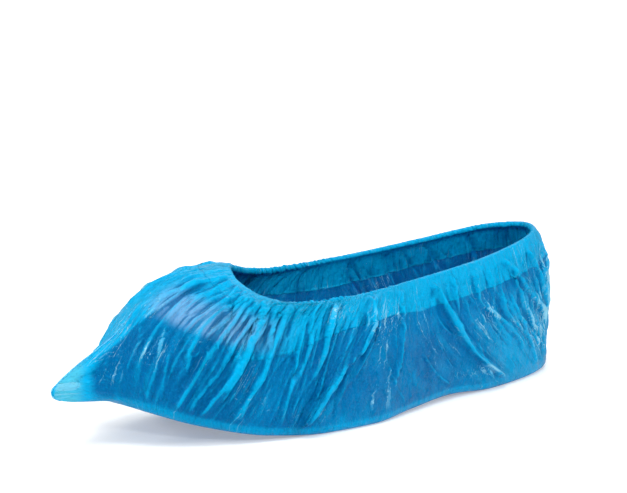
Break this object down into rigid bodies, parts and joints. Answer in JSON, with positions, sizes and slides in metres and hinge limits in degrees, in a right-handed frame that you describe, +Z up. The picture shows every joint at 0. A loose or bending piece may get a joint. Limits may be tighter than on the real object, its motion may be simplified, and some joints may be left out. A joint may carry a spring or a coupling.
{
  "type": "disposable overshoe",
  "caption": "Thin blue embossed film overshoe in its worn form, with an elastic collar and a welded tail at the toe, standing empty on its sole.",
  "frame": {"origin": "on the floor, under the middle of the part's bounding box", "axes": "+X from heel to toe, +Y toward the outer side of the left form, +Z up"},
  "size_m": [0.3636, 0.1046, 0.091],
  "materials": {
    "film": "thin translucent blue film, glossy, finely embossed",
    "elastic": "pale elastic thread, matt",
    "weld": "melted film edge, glossy"
  },
  "bodies": {
    "root": {"film_upper": "film", "film_sole": "film", "elastic_cord": "elastic", "toe_weld": "weld", "heel_weld": "weld"}
  },
  "joints": []
}
